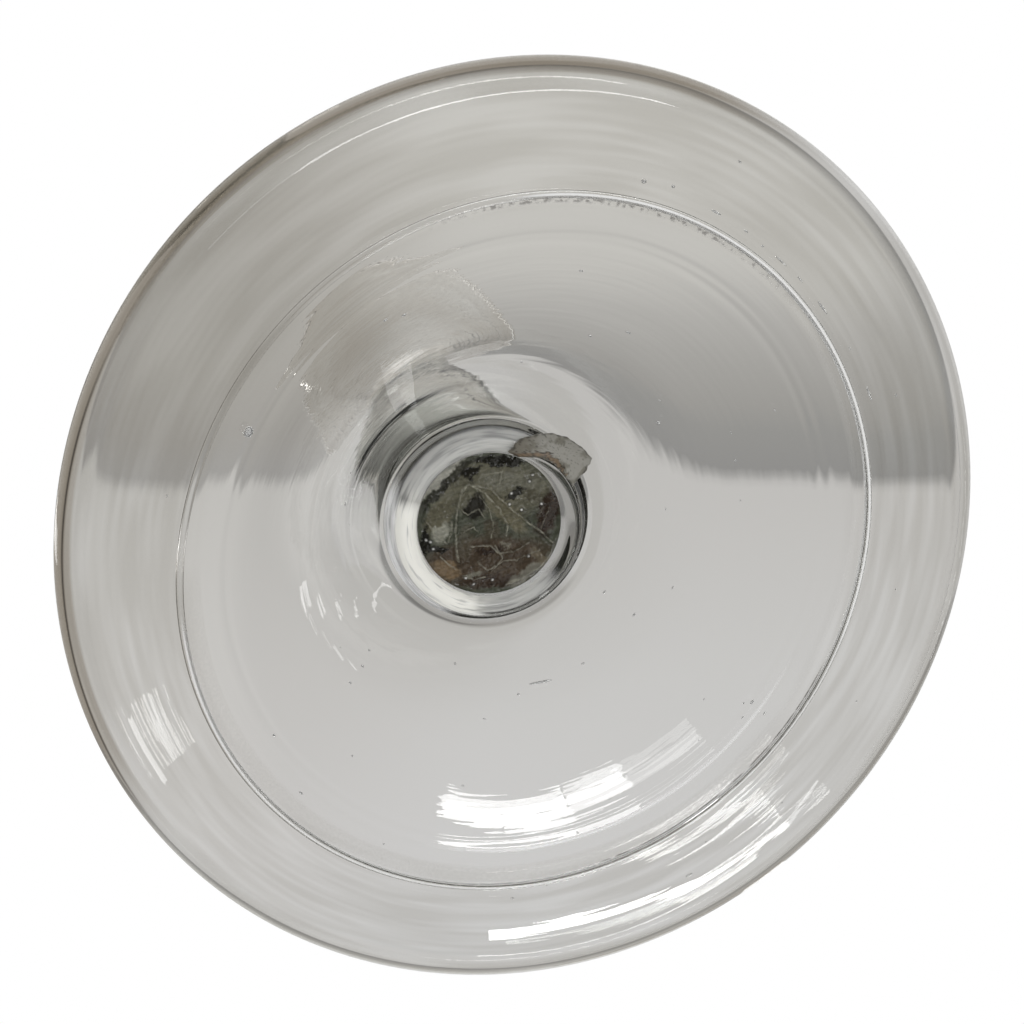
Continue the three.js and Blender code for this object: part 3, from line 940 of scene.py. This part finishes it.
def paint(mesh, colours):
    """Keeps a colour at each point for the material to read."""
    opaque = np.column_stack([np.clip(colours, 0, 1), np.ones(len(colours))])
    layer = mesh.attributes.new("stain", "FLOAT_COLOR", "POINT")
    layer.data.foreach_set("color", opaque.ravel())


def snapped_glass(name, look, roughness):
    """Glass broken off and never polished: glossy shells, darkened by old dirt in its cracks and, on the
    break, by painted shade, with painted highlights and glints.
    """
    def surface(tree):
        # The stain attribute holds dirt and, on the break, painted shade, painted highlights and painted
        # glints
        stain = add(tree, "ShaderNodeAttribute", attribute_name="stain").outputs["Color"]
        chips = add(tree, "ShaderNodeTexNoise", {"Vector": object_place(tree),
                                                 "Scale": 1 / (0.35 * MM), "Detail": 3.0})
        bump = add(tree, "ShaderNodeBump", {"Height": chips, "Distance": 0.05 * MM})
        return {"Base Color": stain, "Roughness": roughness, "IOR": look.ior, "Normal": bump}
    return new_glass(name, surface)


# The lip's painted white highlight and its two grey stretches, partly residue and partly painted
# light, as places on a ring like the foot's marks
LIP_PAINTED_HIGHLIGHT = (6.9, 8.9, 0.12, 122, 38, 26)
LIP_GREYS = [(6.9, 9.1, 0.2, 222, 42, 20), (6.9, 8.35, 0.2, 60, 30, 30)]


def lip_surface(tree):
    """Fire-polished like the foot, with a painted white highlight along its left side, grey stretches
    that are partly residue and partly painted light, and a pale skirt of painted light.
    """
    streaks = tool_rings(tree, 0.25 * MM, 3, 9)
    # Painted white highlight along the lip's left side
    white = combined(tree, "MULTIPLY", patch(tree, *LIP_PAINTED_HIGHLIGHT),
                     rising(tree, streaks, 0.3, 0.5, 0.6, 1.0))
    # Grey stretches: partly residue, partly painted light
    greys = combined(tree, "MAXIMUM", *[patch(tree, *place) for place in LIP_GREYS])
    grey = combined(tree, "MULTIPLY", greys, rising(tree, streaks, 0.3, 0.6, 0.45, 0.7))
    # A pale skirt of painted light outside the lip
    skirt = combined(tree, "MULTIPLY", sector(tree, 132, 32, 25),
                     rising(tree, profile_radius(tree), 8.7 * MM, 8.95 * MM),
                     rising(tree, streaks, 0.3, 0.6, 0.5, 0.75))
    painted_light_and_residue = combined(tree, "MAXIMUM", white, grey, skirt)
    rings = tool_rings(tree, 0.8 * MM, 2, 5)
    return {"Base Color": layered(tree, "#ffffff", (grey, "#b9b9b2"), (white, "#fbfaf2")),
            "Transmission Weight": rising(tree, painted_light_and_residue, 0.0, 1.0, 1.0, 0.0),
            "Roughness": rising(tree, painted_light_and_residue, 0.0, 1.0, 0.0, 0.25),
            "Normal": add(tree, "ShaderNodeBump", {"Height": rings, "Distance": 0.015 * MM})}


# Share of the lip's depth over which its flare runs out to the weld
FLARE_SHARE = 0.12


def pontil_profile(shape):
    """Closed outline of the mark: broken face, rounded lip, short flare, and the weld above."""
    top = ROOF_HEIGHT - WELD_GAP
    face_height = top - shape.lip_depth + shape.recess
    half_lip = shape.lip_radius - shape.break_radius
    flare_start = shape.lip_radius + half_lip
    inner = [(shape.lip_radius - half_lip * math.cos(a), face_height - shape.recess * math.sin(a))
             for a in np.linspace(0, math.pi / 2, 16)]
    outer = [(shape.lip_radius + half_lip * math.sin(a),
              top - shape.lip_depth * (FLARE_SHARE + (1 - FLARE_SHARE) * math.cos(a)))
             for a in np.linspace(0, math.pi / 2, 30)]
    flare = [(PONTIL_RADIUS - (PONTIL_RADIUS - flare_start) * (1 - s) ** 1.7,
              top - FLARE_SHARE * shape.lip_depth * (1 - s)) for s in np.linspace(0, 1, 10)]
    return [(0, face_height), *stretch(0, shape.break_radius, shape.rings, face_height),
            *inner[1:], *outer[1:], *flare[1:], *stretch(PONTIL_RADIUS, 0, 12, top)]


def break_face(mesh, shape):
    """Roughens the flat face inside the lip, paints its stains, painted shade and painted glints, and
    gives it the mesh's last glass.
    """
    places = vertices_of(mesh)
    face_height = ROOF_HEIGHT - WELD_GAP - shape.lip_depth + shape.recess
    radius = np.hypot(places[:, 0], places[:, 1])
    flat = np.abs(places[:, 2] - face_height) < FLAT_WITHIN
    broken = flat & (radius < shape.break_radius + MERGE_DISTANCE)
    places += (STEM_BASE.x, STEM_BASE.y, 0)
    u, v = across_mark(places[broken, 0], places[broken, 1])
    calm = 1 - smooth(radius[broken], shape.break_radius - CALM_EDGE, shape.break_radius)
    places[broken, 2] -= np.clip(broken_relief(u, v) * calm, *RELIEF_LIMITS) * MM
    put_vertices(mesh, places)
    colours = np.ones((len(places), 3))
    colours[broken] = broken_colour(u, v)
    paint(mesh, colours)
    for polygon in mesh.polygons:
        if all(broken[corner] for corner in polygon.vertices):
            polygon.material_index = len(mesh.materials) - 1


class WINE_GLASS_OT_pontil_mark(Operator):
    """Make the mark that the maker's iron left when it was snapped off"""
    bl_idname = "wine_glass.pontil_mark"
    bl_label = "Pontil mark"

    def execute(self, context):
        shape = context.scene.wine_glass_pontil
        look = context.scene.wine_glass_look
        lip = lead_glass("pontil lip of fire-polished lead glass", look, lip_surface)
        mesh = turned(pontil_profile(shape), shape.segments, lip)
        keep_radius(mesh)
        mesh.materials.append(snapped_glass("snapped lead glass with dirt and painted light", look, 0.06))
        break_face(mesh, shape)
        weld_faces(mesh, ROOF_HEIGHT, PONTIL_RADIUS)
        place_piece("pontil_mark", mesh, "pontil_mark")
        return {"FINISHED"}


def splinter_mesh(shape):
    """A chip of the break: its ragged outline filled with rings, domed toward the table."""
    corners = np.array(SPLINTER_OUTLINE + SPLINTER_OUTLINE[:1])
    along = np.concatenate([[0], np.cumsum(np.hypot(*np.diff(corners, axis=0).T))])
    even = np.linspace(0, along[-1], SPLINTER_STEPS, endpoint=False)
    edge_u, edge_v = [np.interp(even, along, corners[:, axis]) for axis in (0, 1)]
    ragged = 1 + 0.035 * rough(edge_u, edge_v, 0.5, 2.2)
    middle_u, middle_v = SPLINTER_MIDDLE
    mean = (shape.splinter_top + shape.splinter_depth) / 2
    half = (shape.splinter_depth - shape.splinter_top) / 2
    shares = np.linspace(1, 0.03, SPLINTER_RINGS)
    points, colours = [], []
    for side, rings in ((1, shares[::-1]), (-1, shares)):
        for share in rings:
            u = middle_u + (edge_u - middle_u) * share * ragged
            v = middle_v + (edge_v - middle_v) * share * ragged
            dome = 0.12 + 0.88 * (1 - share ** 3)
            lumps = 0.3 * rough(u, v, 1.1, 5.5 * side) + 0.08 * rough(u, v, 0.3, 6.5)
            depth = mean + side * half * dome * (0.8 + 0.25 * lumps)
            x, y = on_mark(u, v)
            points.append(np.column_stack([x, y, ROOF_HEIGHT - depth]))
            colours.append(splinter_colour(u, v, share))
    around = SPLINTER_STEPS
    last = (len(points) - 1) * around
    faces = [(ring + i, ring + (i + 1) % around, ring + around + (i + 1) % around,
              ring + around + i) for ring in range(0, last, around) for i in range(around)]
    faces += [tuple(range(last, last + around)), tuple(reversed(range(around)))]
    mesh = bpy.data.meshes.new("splinter")
    mesh.from_pydata(np.concatenate(points), [], faces)
    return mesh, np.concatenate(colours)


def splinter_colour(u, v, share):
    """White where the chip is crushed, with brown iron along its inner edge and dark grains."""
    colour = np.tile(linear("#94928a")[:3], (len(u), 1))
    colour = blend_colour(colour, "#6f6c60", 0.8 * smooth(rough(u, v, 1.3, 8.1), 0.0, 0.5))
    colour = blend_colour(colour, "#615a4a", 0.7 * (1 - smooth(u, 2.0, 4.5)))
    stain = line_distance(u, v, SPLINTER_STAIN) + 0.3 * rough(u, v, 0.35, 3.1)
    colour = blend_colour(colour, "#7c6346", 0.7 * (1 - smooth(stain, 0.05, 0.3)))
    colour = blend_colour(colour, "#2e251c", 0.9 * (1 - smooth(np.abs(stain - 0.2), 0.02, 0.1)))
    grains = rough(u, v, 0.16, 1.9)
    colour = blend_colour(colour, "#3b372f", 0.7 * smooth(grains, 0.45, 0.6))
    rim = (share > 0.93) * (0.35 + 0.3 * np.sin(u * 9))
    return blend_colour(colour, "#34322b", rim)


class WINE_GLASS_OT_splinter(Operator):
    """Make the splinter that stayed at the edge of the break"""
    bl_idname = "wine_glass.splinter"
    bl_label = "Splinter"

    def execute(self, context):
        mesh, colours = splinter_mesh(context.scene.wine_glass_pontil)
        paint(mesh, colours)
        mesh.shade_smooth()
        look = context.scene.wine_glass_look
        mesh.materials.append(snapped_glass("crushed white glass with iron stain", look, 0.35))
        place_piece("splinter", mesh, "pontil_mark")
        return {"FINISHED"}


# The photograph's camera: where it stands and the point that it looks at, in metres, its upward
# direction, and its focal length and sensor width in millimetres
CAMERA_EYE = Vector((-0.02383, -0.01150, -0.05951))
CAMERA_TARGET = Vector((-0.005887, -0.003271, 0))
CAMERA_UP = Vector((-0.4038, -0.8818, 0.2436))
CAMERA_LENS = 28.83
CAMERA_SENSOR = 36


def camera_axes():
    """Directions to the picture's right, up it and into it."""
    forward = (CAMERA_TARGET - CAMERA_EYE).normalized()
    right = forward.cross(CAMERA_UP).normalized()
    return right, right.cross(forward), forward


def make_camera(context):
    data = bpy.data.cameras.new("camera")
    data.sensor_width = CAMERA_SENSOR
    data.lens = CAMERA_LENS
    data.clip_start = 0.005
    camera = bpy.data.objects.new("camera", data)
    right, up, forward = camera_axes()
    turn = Matrix((right, up, -forward)).transposed().to_4x4()
    camera.matrix_world = Matrix.Translation(CAMERA_EYE) @ turn
    context.collection.objects.link(camera)
    context.scene.camera = camera


# The studio's back wall as the glass sees it, from low to high in the picture, on the
# picture's right and left; the step near the middle is where wall and table meet
WALL_RIGHT = [(0.0, "#d7d7d6"), (0.15, "#d3d3d2"), (0.28, "#d6d5d4"), (0.4, "#d2d1cf"),
              (0.522, "#cac8c5"), (0.53, "#969593"), (0.555, "#9b9a97"), (0.57, "#a3a19d"),
              (0.59, "#aaa8a4"), (0.625, "#b4b2ae"), (0.66, "#c3c1bc"), (0.725, "#cbc9c4"),
              (0.775, "#d2d0cb"), (0.85, "#dad8d4"), (1.0, "#efefed")]
WALL_LEFT = [(0.0, "#cbcac8"), (0.15, "#d5d4d2"), (0.28, "#d2d0ce"), (0.4, "#cccac7"),
             (0.522, "#c2c0bc"), (0.53, "#9f9d9a"), (0.555, "#a09d98"), (0.6, "#a7a49e"),
             (0.65, "#aba8a2"), (0.725, "#aeaaa4"), (0.85, "#bab6b0"), (1.0, "#c4c1bb")]
# How far the wall's tones sink toward its sides, and its half width in degrees from the middle
WALL_SAG = 0.05
WALL_HALF_ANGLE = 47

# The studio round the wall: its left and right and where one turns into the other, what lies
# below the table and how far down it starts, a pale glow low on the right with its direction and
# edge, and the light that matt surfaces take
SIDE_LEFT = "#b4b1ab"
SIDE_RIGHT = "#f3f3f1"
LEFT_TO_RIGHT = (-0.85, -0.1)
SIDE_BELOW = "#5c5956"
BELOW_LEVEL = (-0.05, -0.3)
GLOW_TOWARD = (0.6, 0.33, -0.73)
GLOW_EDGE = (0.84, 0.96)
GLOW_COLOUR = "#cbc9c4"
LIGHT_ON_MATT = (0.8, 0.8, 0.8, 1)


def fill_ramp(node, stops):
    """Gives a colour ramp its (position, sRGB hex) stops."""
    ramp = node.color_ramp
    for element, (position, colour) in zip(ramp.elements, (stops[0], stops[-1])):
        element.position, element.color = position, linear(colour)
    for position, colour in stops[1:-1]:
        ramp.elements.new(position).color = linear(colour)
    return node.outputs["Color"]


def make_world(context):
    """The grey wall and table that the photograph's glass shows, and bright sides round them."""
    world = bpy.data.worlds.new("studio")
    world.use_nodes = True
    tree = world.node_tree
    tree.nodes.clear()
    heading = add(tree, "ShaderNodeTexCoord").outputs["Generated"]
    aside, upward, ahead, glow_side = [
        add(tree, "ShaderNodeVectorMath", {0: heading, 1: axis}, operation="DOT_PRODUCT")
        for axis in (*camera_axes(), GLOW_TOWARD)]
    picture_x = combined(tree, "DIVIDE", aside, ahead)
    sag = combined(tree, "MULTIPLY", picture_x, picture_x, WALL_SAG)
    picture_y = combined(tree, "ADD", combined(tree, "DIVIDE", upward, ahead), sag)
    climb = add(tree, "ShaderNodeMapRange", {"Value": picture_y, "From Min": -1.0})
    left_wall, right_wall = [
        fill_ramp(add(tree, "ShaderNodeValToRGB", {"Fac": climb}), stops)
        for stops in (WALL_LEFT, WALL_RIGHT)]
    off_axis = combined(tree, "SUBTRACT", 1.0, combined(tree, "MULTIPLY", ahead, ahead))
    to_side = combined(tree, "DIVIDE", aside, combined(tree, "POWER", off_axis, 0.5))
    to_right = rising(tree, to_side, *LEFT_TO_RIGHT)
    depth = add(tree, "ShaderNodeSeparateXYZ", {0: heading}).outputs["Z"]
    in_front = rising(tree, ahead, math.cos(math.radians(WALL_HALF_ANGLE + 1)),
                      math.cos(math.radians(WALL_HALF_ANGLE - 1)))
    path = add(tree, "ShaderNodeLightPath").outputs
    matt = combined(tree, "GREATER_THAN", path["Diffuse Depth"], 0.5)
    colour = layered(tree, SIDE_LEFT, (to_right, SIDE_RIGHT),
                     (rising(tree, depth, *BELOW_LEVEL), SIDE_BELOW),
                     (rising(tree, glow_side, *GLOW_EDGE), GLOW_COLOUR),
                     (in_front, layered(tree, left_wall, (to_right, right_wall))),
                     (path["Is Camera Ray"], "#ffffff"), (matt, LIGHT_ON_MATT))
    light = add(tree, "ShaderNodeBackground", {"Color": colour, "Strength": 1.0})
    add(tree, "ShaderNodeOutputWorld", {"Surface": light})
    context.scene.world = world


# Soft lamps above the table for the other views: direction and strength
SOFTBOXES = {"key softbox": ((-0.74, 0.54, 0.4), 3), "fill softbox": ((0.85, 0.45, 0.2), 2)}
SOFTBOX_SIZE = (0.07, 0.5)
SOFTBOX_DISTANCE = 0.8

# Strips under the table, whose reflections only the photograph's camera sees from below: corners
# in millimetres, then each strip's width, strength and name, its depth under the table, and its
# spread in degrees, which is small where it has to stay out of surfaces that don't face it
WINDOW_BARS = [(45, -60), (22, -42), (2, -31), (-13, -18), (-20, 4)]
WINDOW_BARS_LOOK = [(12, 9, "window bar low"), (14, 9, "window bar middle"),
                    (12, 7, "window bar high"), (8, 2, "window bar end")]
WINDOW_FAR = [(16.5, 32), (24.5, 28.2), (32.7, 23.7), (39, 16), (38.4, 11)]
WINDOW_FAR_LOOK = [(1.6, 3.5, "window far"), (1.5, 3, "window far middle"),
                   (1.2, 2.5, "window far end"), (0.8, 1, "window far tip")]
WINDOW_NEAR = [(-14, 27), (-9.5, 30.2)]
WINDOW_NEAR_LOOK = [(1, 2, "window near")]
WINDOW_STRIPS = [(WINDOW_BARS, WINDOW_BARS_LOOK, 180, 180), (WINDOW_FAR, WINDOW_FAR_LOOK, 25, 70),
                 (WINDOW_NEAR, WINDOW_NEAR_LOOK, 25, 70)]

# Slats of a blind beside and below the foot: their middles in millimetres, and what they share
BLIND_SLATS = [(57, -9, -14), (56.5, -15, -15), (55, -22, -15.5), (53, -28, -16), (50, -34, -16)]
BLIND_SIZE = (0.001, 0.008)
BLIND_STRENGTH = 4
BLIND_TURN = Matrix.Rotation(math.radians(-39), 3, "Z")


def make_lamp(context, name, place, turn, size, strength, spread=180):
    """A rectangular lamp that the camera doesn't see, as strong for each square metre as named."""
    data = bpy.data.lights.new(name, "AREA")
    data.shape = "RECTANGLE"
    data.size, data.size_y = size
    data.energy = strength * size[0] * size[1] * math.pi
    data.spread = math.radians(spread)
    lamp = bpy.data.objects.new(name, data)
    lamp.matrix_world = Matrix.Translation(place) @ turn.to_4x4()
    lamp.visible_camera = False
    context.collection.objects.link(lamp)


def facing_glass(direction):
    """Turn of a lamp that stands in a direction from the glass and shines back on it."""
    return direction.to_track_quat("Z", "Y").to_matrix()


def make_lamps(context):
    """Lights the softboxes, the window's strips and the slats of its blind."""
    for name, (toward, strength) in SOFTBOXES.items():
        toward = Vector(toward).normalized()
        make_lamp(context, name, toward * SOFTBOX_DISTANCE, facing_glass(toward), SOFTBOX_SIZE,
                  strength)
    below = Vector((0, 0, -1))
    for corners, looks, depth, spread in WINDOW_STRIPS:
        for start, end, (width, strength, name) in zip(corners, corners[1:], looks):
            start, end = [Vector((*corner, -depth)) * MM for corner in (start, end)]
            along = (end - start).normalized()
            turn = Matrix((along, below.cross(along), below)).transposed()
            make_lamp(context, name, (start + end) / 2, turn, ((end - start).length, width * MM),
                      strength, spread)
    for slat in BLIND_SLATS:
        place = Vector(slat) * MM
        make_lamp(context, "window blind", place, facing_glass(place) @ BLIND_TURN, BLIND_SIZE,
                  BLIND_STRENGTH)


# Distances from the glass, in metres, between which the paper fades to white
PAPER_FADE = (0.3, 1.2)


def paper_material():
    """Matt paper that fades to white far out, and is open to a look from below."""
    material, tree = new_material("matt pale paper")
    paper = add(tree, "ShaderNodeBsdfPrincipled", {"Base Color": "#ecebe8", "Roughness": 0.9})
    away = add(tree, "ShaderNodeVectorMath", {0: object_place(tree)}, operation="LENGTH")
    white = add(tree, "ShaderNodeEmission", {"Color": "#ffffff", "Strength": 1.0})
    seen = add(tree, "ShaderNodeMixShader",
               {0: rising(tree, away, *PAPER_FADE), 1: paper, 2: white})
    path = add(tree, "ShaderNodeLightPath").outputs
    crossed = combined(tree, "GREATER_THAN", path["Transparent Depth"], 0.5)
    below = add(tree, "ShaderNodeNewGeometry").outputs["Backfacing"]
    surface = add(tree, "ShaderNodeMixShader",
                  {0: combined(tree, "MAXIMUM", below, crossed), 1: seen,
                   2: add(tree, "ShaderNodeBsdfTransparent")})
    add(tree, "ShaderNodeOutputMaterial", {"Surface": surface})
    return material


def make_floor(context):
    """Pale paper under the glass, which the photograph's camera looks through from below."""
    reach = 4
    mesh = bpy.data.meshes.new("floor")
    mesh.from_pydata([(-reach, -reach, 0), (reach, -reach, 0), (reach, reach, 0),
                      (-reach, reach, 0)], [], [(0, 1, 2, 3)])
    mesh.materials.append(paper_material())
    floor = bpy.data.objects.new("floor", mesh)
    context.collection.objects.link(floor)


class WINE_GLASS_OT_stage(Operator):
    """Set up the photograph's camera, the pale floor, the studio world and its lamps"""
    bl_idname = "wine_glass.stage"
    bl_label = "Stage"

    def execute(self, context):
        make_camera(context)
        make_world(context)
        make_floor(context)
        make_lamps(context)
        scene = context.scene
        scene.view_settings.view_transform = "Standard"
        scene.cycles.max_bounces = 24
        scene.cycles.transmission_bounces = 24
        return {"FINISHED"}


class WINE_GLASS_PT_panel(Panel):
    """Lists the glass's sizes, its look and the operators that make it"""
    bl_idname = "WINE_GLASS_PT_panel"
    bl_label = "Wine glass"
    bl_space_type = "VIEW_3D"
    bl_region_type = "UI"
    bl_category = "Wine Glass"

    def draw(self, context):
        for name in GROUPS:
            box = self.layout.box()
            group = getattr(context.scene, name)
            for key in group.bl_rna.properties.keys():
                if key not in ("rna_type", "name"):
                    box.prop(group, key)
        for operator in OPERATORS:
            self.layout.operator(operator.bl_idname)


GROUPS = {
    "wine_glass_foot": FootShape,
    "wine_glass_bowl": BowlShape,
    "wine_glass_pontil": PontilShape,
    "wine_glass_look": GlassLook,
}
OPERATORS = [
    WINE_GLASS_OT_stage,
    WINE_GLASS_OT_bowl_and_stem,
    WINE_GLASS_OT_foot,
    WINE_GLASS_OT_seeds,
    WINE_GLASS_OT_pontil_mark,
    WINE_GLASS_OT_splinter,
]


def register():
    for cls in [*GROUPS.values(), *OPERATORS, WINE_GLASS_PT_panel]:
        bpy.utils.register_class(cls)
    for name, cls in GROUPS.items():
        setattr(bpy.types.Scene, name, PointerProperty(type=cls))


def unregister():
    for name in GROUPS:
        delattr(bpy.types.Scene, name)
    for cls in reversed([*GROUPS.values(), *OPERATORS, WINE_GLASS_PT_panel]):
        bpy.utils.unregister_class(cls)


def main():
    register()
    bpy.ops.wine_glass.stage()
    bpy.ops.wine_glass.bowl_and_stem()
    bpy.ops.wine_glass.foot()
    bpy.ops.wine_glass.seeds()
    bpy.ops.wine_glass.pontil_mark()
    bpy.ops.wine_glass.splinter()


if __name__ == "__main__":
    main()
